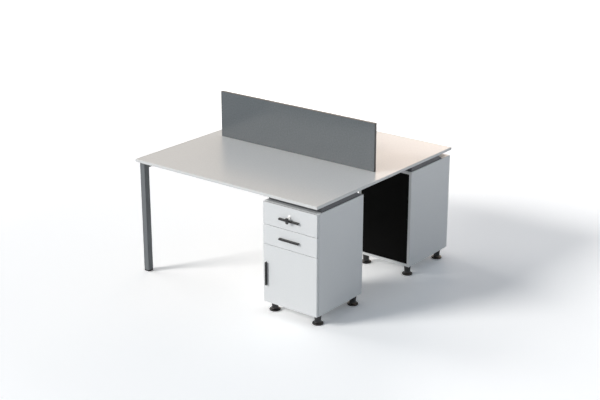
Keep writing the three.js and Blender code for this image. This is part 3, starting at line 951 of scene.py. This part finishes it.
# Bumpers on the front edges of the carcase, behind the fronts
bumper = {
    "steps": 24,
    "profile": ((0, 1.9), (2.4, 1.8), (3.5, 1.3), (4.1, 0.4), (4.1, 0), (0, 0)),
    "doorInset": 34 * mm,
}
for end, side in ends:
    drawers = [middle(f"{end}_{part}_drawer_front").z for part in ("top", "second")]
    low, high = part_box(f"{end}_door")
    doors = [low.z + bumper["doorInset"], high.z - bumper["doorInset"]]
    dots = []
    for board, heights in (("side_inner", drawers + doors), ("side_outer", drawers)):
        node = f"{end}_{board}"
        for z in heights:
            place = (middle(node).x, faceY(node, side), z)
            dots.append(turned(bumper["profile"], place, (0, side, 0), bumper["steps"]))
    body = bodyOf[f"{end}_side_inner"]
    addPiece(merged(dots), f"{end}_bumpers", body, ["black_rubber"])
print("bumpers made")

# Cam locks
lock = {
    "steps": 48,
    "profile": (  # from the face of the plug out to the bezel and back to the cam
        (0, 2.1), (5.9, 2.1), (6.3, 1.7), (6.7, 1.7), (7, 2.3), (7.5, 2.8), (9.4, 2.8), (10.5, 2.3),
        (11, 1.3), (11, 0.3), (9, 0.3), (9, -29.5), (8.5, -30), (0, -30),
    ),
    "keyway": (2.6 * mm, 14 * mm, 8.6 * mm),
    "keywayStart": 4 * mm,  # in front of the face of the drawer
    "camStart": 30 * mm,  # behind it
    "cam": 3 * mm,
    "camHalf": 7 * mm,
    "camRound": (6 * mm, 6),
    "nut": 5.6 * mm,
    "nutHeight": 3 * mm,
    "arris": (0.4 * mm, 2),
}


def addLock(end, side):
    node = f"{end}_lock"
    place = lockCentre(end, side)
    width, depth, height = lock["keyway"]
    start = place.y + side * lock["keywayStart"]
    near, far = sorted((start, start - side * depth))
    keyway = block(
        (place.x - width / 2, near, place.z - height / 2),
        (place.x + width / 2, far, place.z + height / 2),
    )
    barrel = carved(turned(lock["profile"], place, (0, side, 0), lock["steps"]), [keyway])
    half = lock["camHalf"]
    left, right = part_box(node)[0].x, place.x + half
    y = place.y - side * lock["camStart"]
    outline = [
        (left, y, place.z - half),
        (right, y, place.z - half),
        (right, y, place.z + half),
        (left, y, place.z + half),
    ]
    cam = extruded(outline, (0, -side * lock["cam"], 0))
    bevelEdges(cam, edgesAlong(cam, 1), lock["camRound"])
    bevelEdges(cam, sharpEdges(cam), lock["arris"])
    y -= side * lock["cam"]
    radius = lock["nut"]
    corners = [math.radians(60 * i) for i in range(6)]
    outline = [(place.x + radius * math.cos(a), y, place.z + radius * math.sin(a)) for a in corners]
    nut = extruded(outline, (0, -side * lock["nutHeight"], 0))
    bevelEdges(nut, sharpEdges(nut), lock["arris"])
    mesh = merged([barrel, cam, nut])
    addPlain(mesh, node, "_barrel", "lock_chrome", meshing["turnedSmooth"])


for end, side in ends:
    addLock(end, side)
print("locks made")

# Folding key in the front lock
key = {
    "pin": 1.2 * mm,
    "pinSteps": 20,
    "pinProfile": ((0, -5), (1, -5), (1.2, -4.7), (1.2, 4.7), (1, 5), (0, 5)),
    "shankStart": 6.4 * mm,  # from the outer end of the tongue
    "shank": (
        (0, 0), (2.3, 0), (3, 0.7), (3, 5.2), (2.6, 5.6), (2.6, 6.2), (3, 6.6), (3, 10.4),
        (3.5, 11), (3.5, 15), (3, 15.5), (0, 15.5),
    ),
    "tongue": (2 * mm, 7.4 * mm, 4.8 * mm),
    "tongueRound": (1.8 * mm, 4),
    "blade": (  # distance from the end of the blade, and height, mm
        (0, -2.8), (0, 1.2), (1.8, 3.2), (3.6, 1.6), (5.2, 3.6), (7.2, 2), (9.2, 4), (13.5, 4),
        (13.5, -4), (1, -4),
    ),
    "bladeSteel": 2 * mm,
}
bow = {
    "corner": (7 * mm, 8),
    "rim": (1.1 * mm, 3),
    "panelInset": 2.4 * mm,
    "panelDepth": 0.4 * mm,
    "hole": (3, -6, 6),
    "holeInset": 8 * mm,
    "mouth": (2.6 * mm, 7.2 * mm),  # width, and depth from the top
    "mouthOver": 1 * mm,
    "eye": (1.5, -14, 14),
    "eyeSteps": 20,
}


def addKey():
    low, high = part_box("front_key")
    centre = (low + high) / 2
    width, length, height = key["tongue"]
    tongue = block(
        (centre.x - width / 2, low.y, centre.z - height / 2),
        (centre.x + width / 2, low.y + length, centre.z + height / 2),
    )
    across = edgesAlong(tongue, 0)
    nose = [edge for edge in across if abs(edge.verts[0].co.y - low.y) < meshing["same"]]
    bevelEdges(tongue, nose, key["tongueRound"])
    pivot = (centre.x, low.y + key["pin"], centre.z)
    pin = turned(key["pinProfile"], pivot, (1, 0, 0), key["pinSteps"])
    shank = turned(key["shank"], (centre.x, low.y + key["shankStart"], centre.z), (0, 1, 0))
    x = centre.x - key["bladeSteel"] / 2
    outline = [(x, high.y - y * mm, centre.z + z * mm) for y, z in key["blade"]]
    blade = extruded(outline, (key["bladeSteel"], 0, 0))
    mesh = merged([tongue, pin, shank, blade])
    addPlain(mesh, "front_key", "_shank", "lock_chrome", meshing["turnedSmooth"])


def addBow():
    low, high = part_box("front_key_bow")
    centre = (low + high) / 2
    mesh = block(low, high)
    bevelEdges(mesh, edgesAlong(mesh, 1), bow["corner"])
    bevelEdges(mesh, sharpEdges(mesh), bow["rim"])
    mesh.normal_update()
    for panel in [face for face in mesh.faces if abs(face.normal.y) > meshing["square"]]:
        bmesh.ops.inset_region(
            mesh, faces=[panel], thickness=bow["panelInset"], depth=-bow["panelDepth"]
        )
    hole = drill(bow["hole"], (centre.x, centre.y, low.z + bow["holeInset"]), (0, 1, 0))
    width, depth = bow["mouth"]
    over = bow["mouthOver"]
    mouth = block(
        (centre.x - width / 2, low.y - over, high.z - depth),
        (centre.x + width / 2, high.y + over, high.z + over),
    )
    pivot = (centre.x, centre.y, middle("front_lock").z)
    eye = drill(bow["eye"], pivot, (1, 0, 0), bow["eyeSteps"])
    mesh = carved(mesh, [hole, mouth, eye])
    addPiece(
        mesh,
        "front_key_head",
        bodyOf["front_key_bow"],
        ["black_plastic"],
        ["front_key_bow"],
        meshing["turnedSmooth"],
    )


addKey()
addBow()
print("key made")
